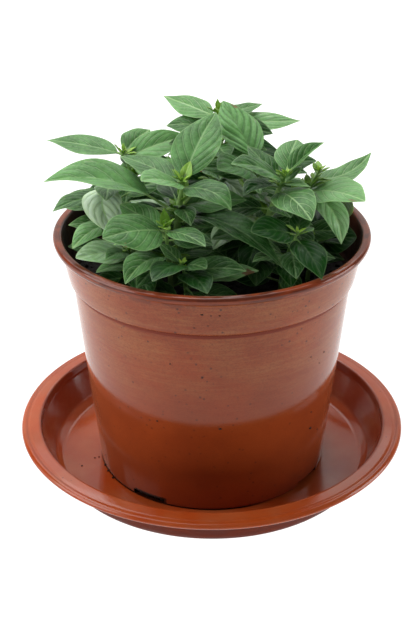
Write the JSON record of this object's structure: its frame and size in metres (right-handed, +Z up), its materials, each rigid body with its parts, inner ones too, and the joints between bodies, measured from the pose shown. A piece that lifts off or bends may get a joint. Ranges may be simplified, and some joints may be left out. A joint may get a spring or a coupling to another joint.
{
  "type": "potted basil plant",
  "caption": "Bushy basil plant in a round plastic pot with a stepped collar and rolled lip, standing on a flanged drip saucer",
  "frame": {"origin": "centre of the saucer's flat underside, on the surface it stands on", "axes": "+Z up; -Y is the front, the side with the fullest stems; +X to the right seen from the front"},
  "size_m": [0.204, 0.204, 0.1883],
  "materials": {
    "saucer": "moulded, semi-gloss",
    "pot": "moulded, semi-gloss, dusty",
    "soil": "loose dark compost",
    "leafy_stem_front_main": "satin leaf",
    "leafy_stem_tallest": "satin leaf",
    "leafy_stem_centre": "satin leaf",
    "leafy_stem_right": "satin leaf",
    "leafy_stem_far_right": "satin leaf",
    "leafy_stem_far_left": "satin leaf",
    "leafy_shoot_left": "satin leaf",
    "leafy_shoot_low_left": "satin leaf",
    "leafy_shoot_front_left": "satin leaf",
    "leafy_shoot_front": "satin leaf",
    "leafy_shoot_front_right": "satin leaf",
    "leafy_shoot_low_right": "satin leaf",
    "leafy_stem_back_left": "satin leaf",
    "leafy_stem_back_middle": "satin leaf",
    "leafy_stem_back_right": "satin leaf"
  },
  "bodies": {
    "root": {"saucer": "saucer", "pot": "pot", "soil": "soil", "leafy_stem_front_main": "leafy_stem_front_main", "leafy_stem_tallest": "leafy_stem_tallest", "leafy_stem_centre": "leafy_stem_centre", "leafy_stem_right": "leafy_stem_right", "leafy_stem_far_right": "leafy_stem_far_right", "leafy_stem_far_left": "leafy_stem_far_left", "leafy_shoot_left": "leafy_shoot_left", "leafy_shoot_low_left": "leafy_shoot_low_left", "leafy_shoot_front_left": "leafy_shoot_front_left", "leafy_shoot_front": "leafy_shoot_front", "leafy_shoot_front_right": "leafy_shoot_front_right", "leafy_shoot_low_right": "leafy_shoot_low_right", "leafy_stem_back_left": "leafy_stem_back_left", "leafy_stem_back_middle": "leafy_stem_back_middle", "leafy_stem_back_right": "leafy_stem_back_right"}
  },
  "joints": []
}
